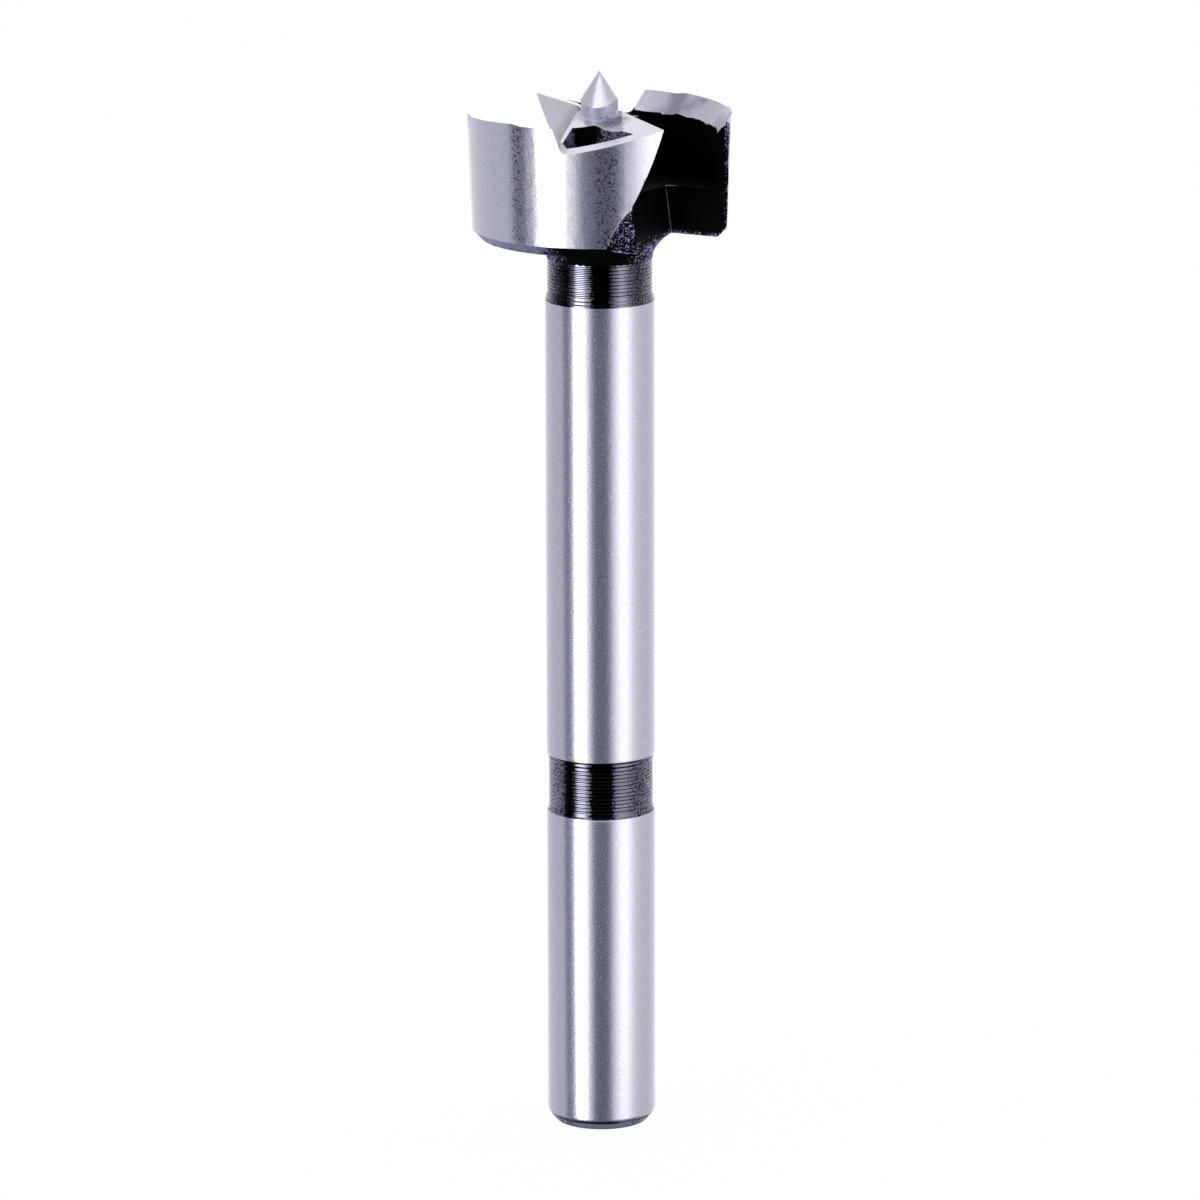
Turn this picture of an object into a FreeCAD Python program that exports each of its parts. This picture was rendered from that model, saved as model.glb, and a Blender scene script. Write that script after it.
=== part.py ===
import FreeCAD, Part
import math
import os

# Forstner bit, one solid of tool steel. Millimetres, Z up along the bit's axis,
# origin at the centre of the shank's end face. The two cutting lips lie along X:
# lip one on the +X side faces +Y, lip two on the -X side faces -Y. Seen from the
# point, the bit cuts anticlockwise.

V = FreeCAD.Vector

# Lengths along the axis. The point stands proud of the lips' outer corners.
tip_height = 98.7
point_rise = 3.73
head_length = 11.47
neck_length = 5.65
groove_top = 35.45
groove_length = 5.8

# Heights that follow from them
lip_height = tip_height - point_rise
head_bottom = lip_height - head_length
neck_start = head_bottom - neck_length
groove_bottom = groove_top - groove_length

# Shank, relief groove and neck
shank_radius = 5.0
end_chamfer_height = 1.0
end_chamfer_width = 0.8
groove_depth = 0.19
groove_top_ramp = 1.0
groove_bottom_ramp = 0.65
neck_radius = 4.82
neck_ramp = 0.65
ring_pitch = 0.34
ring_depth = 0.04
neck_fillet = 2.0

# Head blank
head_radius = 12.0
back_taper_deg = 2.05
head_chamfer = 0.9
rim_allowance = 0.6

# Cutting lips and their relief lands
lip_azimuth_deg = -66.5
lip_offset = 1.08
lip_inner_end = 2.35
lip_rise_deg = 1.4
relief_deg = 14.3

# Rake face: a hollow curve from the lip down to the knee, then a wall that
# comes forward again to the underside
rake_mid_drop = 3.92
rake_mid_set = 1.51
rake_knee_drop = 6.87
rake_knee_set = 2.98
rake_foot_set = 2.1

# Chip opening: a wall tangent to the core and a wall at the end of the rim
core_wall_deg = 34.0
core_wall_distance = 4.75
rim_wall_deg = 38.6
rim_wall_distance = 4.46
opening_corner_radius = 0.3
opening_lean_deg = 5.9
opening_lean_azimuth_deg = 246.5
foot_bevel_deg = 9.6
foot_bevel_start_drop = 6.91
foot_bevel_distance = 11.69

# Hollow inside each rim
hollow_floor_drop = 7.07
hollow_radius = 10.7
bar_edge_far_x = 5.22
bar_edge_far_y = -6.19
bar_edge_end_deg = -42.2

# Pocket behind each lip
pocket_depth = 4.0
pocket_outer_radius = 10.1
pocket_hub_radius = 4.25
pocket_lip_near = 2.84
pocket_lip_far = 2.12
pocket_ridge_near = 0.92
pocket_ridge_far = 0.2
pocket_ridge_slope_deg = 20.0
pocket_lip_slope_deg = 18.0
pocket_draft_deg = 6.0

# Rim: ground from the inside to a wavy edge, and ended by a notch. The wave is
# given as azimuth from the lip and height above the lip, from the leading end.
bevel_deg = 36.0
bevel_inner_radius = 10.5
rim_lead_deg = -43.9
rim_wave = [(-43.9, 0.19), (-59.8, 0.06), (-64.7, 0.19), (-96.7, -0.11), (-103.8, 0.0), (-125.0, -0.17)]
notch_wall_lean_deg = 20.0
notch_floor_rise_deg = 10.0
notch_drop = 2.19
notch_radius = 0.8
notch_tilt_deg = 11.2

# Centre point
point_half_angle_deg = 33.5
post_long_radius = 2.07
post_short_radius = 1.68
post_azimuth_deg = -35.5
sweep_radius = 0.9
sweep_inner_radius = 1.5
sweep_start_deg = -58.0
sweep_end_deg = -150.0
trough_radius = 3.5
trough_sink = 0.25
trough_offset = 0.72
trough_azimuth_deg = -23.5
trough_length = 8.8


def rad(degrees):
    return math.radians(degrees)


def polar(radius, azimuth_deg, z=0.0):
    return V(radius * math.cos(rad(azimuth_deg)), radius * math.sin(rad(azimuth_deg)), z)


def outer_radius(z):
    """Radius of the head's back-tapered outside at a height."""
    return head_radius - (lip_height - z) * math.tan(rad(back_taper_deg))


def face_of(points):
    return Part.Face(Part.makePolygon(list(points) + [points[0]]))


def prism(points, z0, z1):
    """Straight prism over a plan outline."""
    flat = [V(p.x, p.y, z0) for p in points]
    return face_of(flat).extrude(V(0, 0, z1 - z0))


def turned(solid):
    """The same shape on the other side of the axis."""
    copy = solid.copy()
    copy.rotate(V(0, 0, 0), V(0, 0, 1), 180)
    return copy


def both_sides(solid):
    return [solid, turned(solid)]


def ringed(r_base, z0, z1):
    """Profile points of the fine turned rings between two heights."""
    count = int((z1 - z0) / ring_pitch)
    pitch = (z1 - z0) / count
    points = []
    for i in range(count):
        points.append(V(r_base, 0, z0 + i * pitch))
        points.append(V(r_base - ring_depth, 0, z0 + (i + 0.5) * pitch))
    points.append(V(r_base, 0, z1))
    return points


def turned_blank():
    """Shank, groove, neck and full head disc as one revolved profile."""
    groove_radius = shank_radius - groove_depth
    low = [
        V(0, 0, 0),
        V(shank_radius - end_chamfer_width, 0, 0),
        V(shank_radius, 0, end_chamfer_height),
        V(shank_radius, 0, groove_bottom),
    ]
    groove = ringed(groove_radius, groove_bottom + groove_bottom_ramp, groove_top - groove_top_ramp)
    mid = [V(shank_radius, 0, groove_top), V(shank_radius, 0, neck_start)]
    neck = ringed(neck_radius, neck_start + neck_ramp, head_bottom - neck_fillet)
    edges = [Part.LineSegment(a, b).toShape() for a, b in pairs(low + groove + mid + neck)]
    start = neck[-1]
    end = V(neck_radius + neck_fillet, 0, head_bottom)
    k = neck_fillet * (1 - math.sqrt(0.5))
    middle = V(neck_radius + k, 0, head_bottom - k)
    edges.append(Part.Arc(start, middle, end).toShape())
    bottom_edge = outer_radius(head_bottom + head_chamfer)
    top = lip_height + rim_allowance
    head = [
        end,
        V(bottom_edge - head_chamfer, 0, head_bottom),
        V(bottom_edge, 0, head_bottom + head_chamfer),
        V(outer_radius(top), 0, top),
        V(0, 0, top),
        V(0, 0, 0),
    ]
    edges += [Part.LineSegment(a, b).toShape() for a, b in pairs(head)]
    return Part.Face(Part.Wire(edges)).revolve(V(0, 0, 0), V(0, 0, 1), 360)


def pairs(points):
    return list(zip(points[:-1], points[1:]))


def bar_edge():
    """Edge of the bar that carries lip one, from the hub to the rim."""
    return [
        V(-lip_inner_end, -lip_offset, 0),
        V(bar_edge_far_x, bar_edge_far_y, 0),
        polar(head_radius - 0.6, bar_edge_end_deg),
    ]


def space_before_lip():
    """All the room in front of the rake face of lip one."""
    knee = V(0, lip_offset - rake_knee_set, lip_height - rake_knee_drop)
    mid = V(0, lip_offset - rake_mid_set, lip_height - rake_mid_drop)
    lip = V(0, lip_offset, lip_height)
    foot = V(0, lip_offset - rake_foot_set, head_bottom - 0.2)
    rise = 3.0
    lean = rake_mid_set / rake_mid_drop
    above = V(0, lip_offset + lean * rise, lip_height + rise)
    reach = 30.0
    edges = [
        Part.LineSegment(foot, knee).toShape(),
        Part.Arc(knee, mid, lip).toShape(),
        Part.LineSegment(lip, above).toShape(),
        Part.LineSegment(above, V(0, reach, above.z)).toShape(),
        Part.LineSegment(V(0, reach, above.z), V(0, reach, 60)).toShape(),
        Part.LineSegment(V(0, reach, 60), V(0, foot.y, 60)).toShape(),
        Part.LineSegment(V(0, foot.y, 60), foot).toShape(),
    ]
    profile = Part.Face(Part.Wire(edges))
    profile.translate(V(-reach, 0, 0))
    return profile.extrude(V(2 * reach, 0, 0))


def through_opening():
    """Slanted prism between the core wall and the rim's end wall."""
    core_normal = polar(1, core_wall_deg)
    rim_normal = polar(1, rim_wall_deg - 90)
    # corner where the two walls meet
    det = core_normal.x * rim_normal.y - core_normal.y * rim_normal.x
    c = core_wall_distance
    d = -rim_wall_distance
    corner = V((c * rim_normal.y - core_normal.y * d) / det, (core_normal.x * d - c * rim_normal.x) / det, 0)
    along_core = polar(1, core_wall_deg - 90)
    along_rim = polar(1, rim_wall_deg)
    far_core = corner + along_core * 14
    far_rim = corner + along_rim * 10
    t = opening_corner_radius
    p1 = corner + along_core * t
    p2 = corner + along_rim * t
    bisector = (along_core + along_rim).normalize()
    pm = corner + bisector * (t * (math.sqrt(2) - 1))
    out = 2 * head_radius
    edges = [
        Part.LineSegment(far_core, p1).toShape(),
        Part.Arc(p1, pm, p2).toShape(),
        Part.LineSegment(p2, far_rim).toShape(),
        Part.LineSegment(far_rim, V(out, far_rim.y, 0)).toShape(),
        Part.LineSegment(V(out, far_rim.y, 0), V(out, far_core.y, 0)).toShape(),
        Part.LineSegment(V(out, far_core.y, 0), far_core).toShape(),
    ]
    lean = math.tan(rad(opening_lean_deg))
    up = polar(lean, opening_lean_azimuth_deg, 1.0)
    z0 = head_bottom - 4
    below = up * (z0 - head_bottom)
    face = Part.Face(Part.Wire(edges))
    face.translate(V(below.x, below.y, z0))
    return face.extrude(up * (lip_height + 3 - z0))


def hollow_inside_rim():
    """Hollow beside lip one, inside rim two, open towards lip one."""
    edge = [V(-p.x, -p.y, 0) for p in bar_edge()]
    floor = lip_height - hollow_floor_drop
    height = hollow_floor_drop + 3
    drum = Part.makeCylinder(hollow_radius, height, V(0, 0, floor))
    far = 2 * head_radius
    plan = [
        edge[0],
        edge[1],
        edge[2],
        V(edge[2].x, far, 0),
        V(far, far, 0),
        V(far, -lip_offset - rake_knee_set, 0),
        V(lip_inner_end, -lip_offset - rake_knee_set, 0),
    ]
    return drum.common(prism(plan, floor, floor + height))


def land_cut():
    """Everything above the relief land of lip one, up to the notch."""
    start = bar_edge()[0]
    out = 1.3 * head_radius
    floor_end = notch_outline()[2]
    inner = notch_place(floor_end, 0.6 * hollow_radius)
    outer = notch_place(floor_end, out)
    beyond = polar(out, 1.5 * bar_edge_end_deg)
    top = lip_height + 6
    over_land = [
        V(lip_inner_end, lip_offset, 0),
        V(lip_inner_end + 0.9, lip_offset + 0.9, 0),
        V(out, lip_offset + 0.9, 0),
        V(out, 0, 0),
        outer,
        inner,
        start,
    ]
    inside_rim = prism([start, inner, outer, beyond], head_bottom, top)
    drum = Part.makeCylinder(hollow_radius, top - head_bottom + 2, V(0, 0, head_bottom - 1))
    block = prism(over_land, head_bottom, top).fuse(inside_rim.common(drum))
    span = 3 * head_radius
    slab = Part.makeBox(2 * span, 2 * span, span, V(-span, -span, 0))
    slab.rotate(V(0, 0, 0), V(1, 0, 0), relief_deg)
    slab.rotate(V(0, 0, 0), V(0, 1, 0), lip_rise_deg)
    slab.translate(V(math.sqrt(head_radius ** 2 - lip_offset ** 2), lip_offset, lip_height))
    return block.common(slab)


def wedge_corners(ridge_inset, lip_inset, z):
    """Plan triangle between the bar's edge and the back of the lip's land."""
    edge = bar_edge()
    along = (edge[1] - edge[0]).normalize()
    inward = V(-along.y, along.x, 0)
    ridge_start = edge[0] + inward * (pocket_ridge_near + ridge_inset)
    ridge_end = edge[1] + inward * (pocket_ridge_far + ridge_inset)
    ridge = (ridge_end - ridge_start).normalize()
    near = V(pocket_hub_radius, lip_offset - pocket_lip_near, 0)
    far = V(pocket_outer_radius, lip_offset - pocket_lip_far, 0)
    back = (far - near).normalize()
    back_start = near + V(back.y, -back.x, 0) * lip_inset
    gap = back_start - ridge_start
    step = (gap.x * back.y - gap.y * back.x) / (ridge.x * back.y - ridge.y * back.x)
    corner = ridge_start + ridge * step
    reach = 3 * head_radius
    corners = [corner, corner + ridge * reach, corner + back * reach]
    return [V(p.x, p.y, z) for p in corners]


def pocket():
    """Pocket behind lip one, between hub and rim, with sloping sides."""
    top = lip_height + 1
    floor = lip_height - pocket_depth
    level = lip_height - 1.2
    lip_level = lip_height - 0.5
    ridge_slope = math.tan(rad(pocket_ridge_slope_deg))
    lip_slope = math.tan(rad(pocket_lip_slope_deg))
    draft = math.tan(rad(pocket_draft_deg))
    outlines = []
    for z in (floor, top):
        outlines.append(wedge_corners((level - z) * ridge_slope, (lip_level - z) * lip_slope, z))
    wires = [Part.makePolygon(list(points) + [points[0]]) for points in outlines]
    wedge = Part.makeLoft(wires, True, True)
    low = (level - floor) * draft
    high = (level - top) * draft
    section = [
        V(pocket_hub_radius + low, 0, floor),
        V(pocket_outer_radius - low, 0, floor),
        V(pocket_outer_radius - high, 0, top),
        V(pocket_hub_radius + high, 0, top),
    ]
    ring = face_of(section).revolve(V(0, 0, 0), V(0, 0, 1), 360)
    return ring.common(wedge)


def sector(start_deg, end_deg, z0, z1):
    out = 1.5 * head_radius
    mid = 0.5 * (start_deg + end_deg)
    points = [V(0, 0, 0), polar(out, start_deg), polar(out * 1.1, mid), polar(out, end_deg)]
    return prism(points, z0, z1)


def bevel_cut(lead, trail):
    """Ring section whose sloping side, set off the axis, climbs along the rim."""
    lead_deg, lead_rise = lead
    trail_deg, trail_rise = trail
    mid = 0.5 * (lead_deg + trail_deg)
    z_mid = lip_height + 0.5 * (lead_rise + trail_rise)
    steepness = math.tan(rad(bevel_deg))
    shift = steepness * (lead_rise - trail_rise) / rad(lead_deg - trail_deg)
    radius = math.hypot(outer_radius(z_mid), shift)
    down = (radius - bevel_inner_radius) / steepness
    up = 2.0
    section = [
        V(bevel_inner_radius, 0, z_mid - down),
        V(radius + up * steepness, 0, z_mid + up),
        V(bevel_inner_radius, 0, z_mid + up),
    ]
    ring = face_of(section).revolve(V(0, 0, 0), V(0, 0, 1), 360)
    ring.translate(polar(shift, mid - 90))
    start = lead_deg
    if lead_deg == rim_lead_deg:
        start = lead_deg + 3
    return ring.common(sector(start, trail_deg, z_mid - down - 1, z_mid + up + 1))


def notch_outline():
    """Fillet of the notch, unrolled: X along the rim from its leading end, Z up."""
    lean = math.tan(rad(notch_wall_lean_deg))
    wall = V(-lean, 0, 1).normalize()
    floor = V(math.cos(rad(notch_floor_rise_deg)), 0, math.sin(rad(notch_floor_rise_deg)))
    corner = V(notch_drop * lean, 0, lip_height - notch_drop)
    half = 0.5 * wall.getAngle(floor)
    cut = notch_radius / math.tan(half)
    middle = corner + (wall + floor).normalize() * (notch_radius / math.sin(half) - notch_radius)
    return corner + wall * cut, middle, corner + floor * cut


def notch_place(p, radius):
    """A point of the unrolled notch, set at a distance out from the axis."""
    radial = polar(1, rim_lead_deg)
    drop = (radius - head_radius) * math.tan(rad(notch_tilt_deg))
    return V(radial.x * radius - radial.y * p.x, radial.y * radius + radial.x * p.x, p.z - drop)


def notch_cut():
    """Notch between the rim's leading end and the foot of the land."""
    p1, pm, p2 = notch_outline()
    rise = 3.0
    lean = math.tan(rad(notch_wall_lean_deg))
    above_wall = V(-rise * lean, 0, lip_height + rise)
    above_floor = V(p2.x, 0, lip_height + rise)
    a, b, c, d, e = [notch_place(p, 1.3 * head_radius) for p in (above_wall, p1, pm, p2, above_floor)]
    edges = [
        Part.LineSegment(a, b).toShape(),
        Part.Arc(b, c, d).toShape(),
        Part.LineSegment(d, e).toShape(),
        Part.LineSegment(e, a).toShape(),
    ]
    inward = notch_place(p1, 0.75 * head_radius) - b
    return Part.Face(Part.Wire(edges)).extrude(inward)


def land_height(p):
    """Height of the relief land of lip one at a plan point."""
    corner_x = math.sqrt(head_radius ** 2 - lip_offset ** 2)
    rise = (corner_x - p.x) * math.tan(rad(lip_rise_deg))
    return lip_height + rise - (lip_offset - p.y) * math.tan(rad(relief_deg))


def foot_bevel():
    """Slanted plane across the foot of the rake face, at the head's outside."""
    span = 12.0
    box = Part.makeBox(span, 2 * span, 2 * span, V(0, -span, -span))
    box.rotate(V(0, 0, 0), V(0, 1, 0), foot_bevel_deg)
    box.translate(V(foot_bevel_distance, 0, lip_height - foot_bevel_start_drop))
    box.rotate(V(0, 0, 0), V(0, 0, 1), -3.0)
    return box


def centre_post():
    """Oval post with a conical point."""
    base = lip_height - 2.5
    oval = Part.Ellipse(V(0, 0, base), post_long_radius, post_short_radius)
    column = Part.Face(Part.Wire([oval.toShape()])).extrude(V(0, 0, tip_height - base))
    column.rotate(V(0, 0, 0), V(0, 0, 1), post_azimuth_deg)
    length = tip_height - base + 1
    cone = Part.makeCone(length * math.tan(rad(point_half_angle_deg)), 0, length, V(0, 0, tip_height - length))
    return column.common(cone)


def land_normal():
    across = V(0, math.cos(rad(relief_deg)), math.sin(rad(relief_deg)))
    along = V(-math.cos(rad(lip_rise_deg)), 0, math.sin(rad(lip_rise_deg)))
    return across.cross(along).normalize()


def post_trough():
    """Shallow hollow from the post's foot down to the pocket."""
    direction = polar(1, trough_azimuth_deg)
    side = V(-direction.y, direction.x, 0)
    start = side * trough_offset
    end = start + direction * trough_length
    start.z = land_height(start)
    end.z = land_height(end)
    lift = land_normal() * (trough_radius - trough_sink)
    return Part.makeCylinder(trough_radius, (end - start).Length, start + lift, end - start)


def foot_sweep():
    """Concave fillet on the land of lip one, about the side of the post's foot."""
    high = V(sweep_inner_radius, 0, sweep_radius)
    low = V(sweep_inner_radius + sweep_radius, 0, 0)
    k = sweep_radius * (1 - math.sqrt(0.5))
    deep = V(low.x, 0, -1.5)
    core = 0.5
    edges = [
        Part.Arc(high, V(sweep_inner_radius + k, 0, k), low).toShape(),
        Part.LineSegment(low, deep).toShape(),
        Part.LineSegment(deep, V(core, 0, deep.z)).toShape(),
        Part.LineSegment(V(core, 0, deep.z), V(core, 0, sweep_radius)).toShape(),
        Part.LineSegment(V(core, 0, sweep_radius), high).toShape(),
    ]
    face = Part.Face(Part.Wire(edges))
    face.rotate(V(0, 0, 0), V(0, 0, 1), sweep_end_deg)
    ring = face.revolve(V(0, 0, 0), V(0, 0, 1), sweep_start_deg - sweep_end_deg)
    ring.rotate(V(0, 0, 0), V(1, 0, 0), relief_deg)
    ring.rotate(V(0, 0, 0), V(0, 1, 0), lip_rise_deg)
    ring.translate(V(0, 0, land_height(V(0, 0, 0))))
    return ring


def forstner_bit():
    body = turned_blank()
    tools = [land_cut(), pocket(), notch_cut(), post_trough(), foot_bevel()]
    tools += [bevel_cut(lead, trail) for lead, trail in pairs(rim_wave)]
    for tool in tools:
        for cut in both_sides(tool):
            body = body.cut(cut)
    body = body.fuse(centre_post())
    for ring in both_sides(foot_sweep()):
        body = body.fuse(ring)
    front = space_before_lip()
    for tool in (through_opening(), hollow_inside_rim()):
        for cut in both_sides(tool.common(front)):
            body = body.cut(cut)
    return body.removeSplitter()


os.makedirs("parts", exist_ok=True)
shape = forstner_bit()
shape.rotate(V(0, 0, 0), V(0, 0, 1), lip_azimuth_deg)
print("solids", len(shape.Solids), "valid", shape.isValid(), "volume", round(shape.Volume, 2))
box = shape.BoundBox
print("box", round(box.XMin, 3), round(box.XMax, 3), round(box.YMin, 3), round(box.YMax, 3), round(box.ZMin, 3), round(box.ZMax, 3))
shape.exportStep("parts/bit.step")
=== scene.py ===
import logging
import math
from collections.abc import Sequence
from dataclasses import dataclass
from enum import Enum, IntEnum
from typing import Any, Union

import bmesh
import bpy
import numpy as np
from mathutils import Matrix, Vector


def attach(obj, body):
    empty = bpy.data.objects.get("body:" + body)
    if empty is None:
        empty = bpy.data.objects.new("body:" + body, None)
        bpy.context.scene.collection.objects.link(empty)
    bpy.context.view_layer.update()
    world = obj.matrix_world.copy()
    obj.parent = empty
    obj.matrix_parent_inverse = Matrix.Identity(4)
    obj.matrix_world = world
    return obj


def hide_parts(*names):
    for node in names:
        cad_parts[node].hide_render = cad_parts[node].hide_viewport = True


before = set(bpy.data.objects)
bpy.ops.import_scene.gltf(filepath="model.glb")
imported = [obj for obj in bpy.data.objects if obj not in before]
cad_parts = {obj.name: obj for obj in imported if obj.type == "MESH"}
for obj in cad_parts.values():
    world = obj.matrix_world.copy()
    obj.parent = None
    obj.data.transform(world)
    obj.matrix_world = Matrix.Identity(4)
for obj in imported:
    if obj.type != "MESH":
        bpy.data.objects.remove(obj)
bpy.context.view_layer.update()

LOG = logging.getLogger("forstner_bit")
MM = 0.001
SHANK_RADIUS = 5.0
LIP_AZIMUTH_DEG = -66.5
HEAD_START = 81.5
Number = Union[float, "Value"]
Triple = tuple[float, float, float]
Colour = Triple
Levels = tuple[tuple[float, float], ...]


class Grain(Enum):
    """Which way the grinding marks run on a ground surface."""

    AROUND = "around the axis"
    ACROSS = "straight across the face"


class Zone(IntEnum):
    """Finish of a face, by its material index."""

    TURNED_GROUND = 0
    FLAT_GROUND = 1
    TURNED_OXIDE = 2
    DARK_OXIDE = 3
    CHAMFER = 4
    POINT = 5
    DULL_GROUND = 6


Profile = list[tuple[float, float, Zone | None]]


class Value:
    """A number that flows through a node tree, with arithmetic that adds Math nodes."""

    def __init__(self, tree: "Tree", socket: bpy.types.NodeSocket) -> None:
        """Wrap a socket.

        Args:
            tree: The tree that the socket is in.
            socket: The output socket that gives the number.
        """
        self.tree = tree
        self.socket = socket

    def __add__(self, other: Number) -> "Value":
        """Sum."""
        return self.tree.maths("ADD", self, other)

    def __radd__(self, other: Number) -> "Value":
        """Sum, with the number first."""
        return self.tree.maths("ADD", other, self)

    def __sub__(self, other: Number) -> "Value":
        """Difference."""
        return self.tree.maths("SUBTRACT", self, other)

    def __rsub__(self, other: Number) -> "Value":
        """Difference, with the number first."""
        return self.tree.maths("SUBTRACT", other, self)

    def __mul__(self, other: Number) -> "Value":
        """Product."""
        return self.tree.maths("MULTIPLY", self, other)

    def rise(self, low: float, high: float) -> "Value":
        """Smooth step from 0 at low to 1 at high.

        Args:
            low: Value at which the result is 0.
            high: Value at which the result is 1.

        Returns:
            The stepped value, clamped to 0 and 1.
        """
        made = self.tree.add(
            "ShaderNodeMapRange",
            {"interpolation_type": "SMOOTHSTEP"},
            {"Value": self, "From Min": low, "From Max": high},
        )
        return Value(self.tree, made.outputs["Result"])


class Tree:
    """A tree of shader or geometry nodes, with one method that makes any node."""

    def __init__(self, nodes: bpy.types.NodeTree) -> None:
        """Start from an empty tree.

        Args:
            nodes: The node tree, which is cleared.
        """
        self.nodes = nodes
        self.nodes.nodes.clear()

    def add(self, kind: str, settings: dict[str, Any] | None = None,
            sockets: dict[str | int, Any] | None = None) -> bpy.types.Node:
        """Make a node.

        Args:
            kind: The node's type.
            settings: Its own settings, such as an operation.
            sockets: Values or links of its inputs, by name or number.

        Returns:
            The node.
        """
        node = self.nodes.nodes.new(kind)
        for name, setting in (settings or {}).items():
            setattr(node, name, setting)
        for name, content in (sockets or {}).items():
            socket = node.inputs[name]
            if isinstance(content, Value):
                self.nodes.links.new(content.socket, socket)
            elif isinstance(content, bpy.types.NodeSocket):
                self.nodes.links.new(content, socket)
            else:
                socket.default_value = content
        return node

    def ramp(self, place: Value, stops: Sequence[tuple[float, Colour]]) -> bpy.types.NodeSocket:
        """Colour ramp.

        Args:
            place: Where the ramp is read, from 0 to 1.
            stops: Pairs of position and colour, in order.

        Returns:
            The colour.
        """
        node = self.add("ShaderNodeValToRGB", {}, {0: place})
        elements = node.color_ramp.elements
        while len(elements) > 1:
            elements.remove(elements[-1])
        elements[0].position = stops[0][0]
        elements[0].color = (*stops[0][1], 1.0)
        for position, colour in stops[1:]:
            elements.new(position).color = (*colour, 1.0)
        return node.outputs[0]

    def attribute(self, name: str) -> Value:
        """Number that the mesh keeps at each of its points."""
        return Value(self, self.add("ShaderNodeAttribute", {"attribute_name": name}).outputs["Fac"])

    def bump(self, height: Value) -> bpy.types.NodeSocket:
        """Normal of a surface with relief.

        Args:
            height: The relief, in mm.

        Returns:
            The normal.
        """
        sockets = {"Strength": 1.0, "Distance": MM, "Height": height}
        return self.add("ShaderNodeBump", {}, sockets).outputs[0]

    def maths(self, operation: str, *numbers: Number) -> Value:
        """Math node.

        Args:
            operation: The node's operation.
            numbers: Its inputs, in order.

        Returns:
            The result.
        """
        node = self.add("ShaderNodeMath", {"operation": operation}, dict(enumerate(numbers)))
        return Value(self, node.outputs[0])

    def mix(self, factor: Number, first: Any, second: Any) -> bpy.types.NodeSocket:
        """Mix of two colours.

        Args:
            factor: Share of the second colour.
            first: Colour or socket at factor 0.
            second: Colour or socket at factor 1.

        Returns:
            The mixed colour.
        """
        def full(colour: Any) -> Any:
            """Add alpha to a plain colour."""
            return (*colour, 1.0) if isinstance(colour, tuple) else colour

        node = self.add(
            "ShaderNodeMix",
            {"data_type": "RGBA"},
            {0: factor, 6: full(first), 7: full(second)},
        )
        return node.outputs[2]

    def blend(self, factor: Value, first: bpy.types.Node, second: bpy.types.Node) -> bpy.types.Node:
        """Mix of two shaders, from the first at factor 0 to the second at 1."""
        return self.add("ShaderNodeMixShader", {}, {0: factor, 1: first.outputs[0], 2: second.outputs[0]})

    def noise(self, vector: bpy.types.NodeSocket, scale: float, detail: float = 2.0,
              roughness: float = 0.5) -> Value:
        """Noise texture.

        Args:
            vector: Coordinates.
            scale: Cells for each unit of the coordinates.
            detail: Octaves.
            roughness: Strength of the finer octaves.

        Returns:
            The noise, about 0.5.
        """
        node = self.add(
            "ShaderNodeTexNoise",
            {"noise_dimensions": "3D"},
            {"Vector": vector, "Scale": scale, "Detail": detail, "Roughness": roughness},
        )
        return Value(self, node.outputs["Fac"])


class Surface:
    """Coordinates of a piece in millimetres, flat and wound round the bit's axis."""

    def __init__(self, tree: Tree) -> None:
        """Make the coordinate nodes.

        Args:
            tree: The material's tree.
        """
        self.tree = tree
        place = tree.add("ShaderNodeTexCoord").outputs["Object"]
        scaled = tree.add(
            "ShaderNodeVectorMath", {"operation": "SCALE"}, {0: place, "Scale": 1 / MM}
        )
        self.flat = scaled.outputs[0]
        parts = tree.add("ShaderNodeSeparateXYZ", {}, {0: self.flat})
        self.x, self.y, self.z = (Value(tree, parts.outputs[i]) for i in range(3))
        self.angle = tree.maths("ARCTAN2", self.y, self.x)
        self.radius = tree.maths("SQRT", self.x * self.x + self.y * self.y)

    def stretched(self, along: float, up: float, out: float) -> bpy.types.NodeSocket:
        """Coordinates wound round the axis and stretched.

        Args:
            along: Scale round the axis, for each radian.
            up: Scale up the axis, for each millimetre.
            out: Scale outwards, for each millimetre.

        Returns:
            The vector.
        """
        node = self.tree.add(
            "ShaderNodeCombineXYZ", {},
            {0: self.angle * along, 1: self.z * up, 2: self.radius * out},
        )
        return node.outputs[0]

    def turned(self, angle_deg: float, scale: Triple) -> bpy.types.NodeSocket:
        """Flat coordinates turned about the axis and then stretched.

        Args:
            angle_deg: Turn about the axis.
            scale: Stretch along each axis.

        Returns:
            The vector.
        """
        node = self.tree.add(
            "ShaderNodeMapping",
            {"vector_type": "TEXTURE"},
            {0: self.flat, "Rotation": (0, 0, math.radians(angle_deg)),
             "Scale": tuple(1 / s for s in scale)},
        )
        return node.outputs[0]


def new_material(name: str) -> tuple[bpy.types.Material, Tree]:
    """Make a material with an empty tree.

    Args:
        name: The material's name.

    Returns:
        The material and its tree.
    """
    material = bpy.data.materials.new(name)
    material.use_nodes = True
    return material, Tree(material.node_tree)


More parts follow.
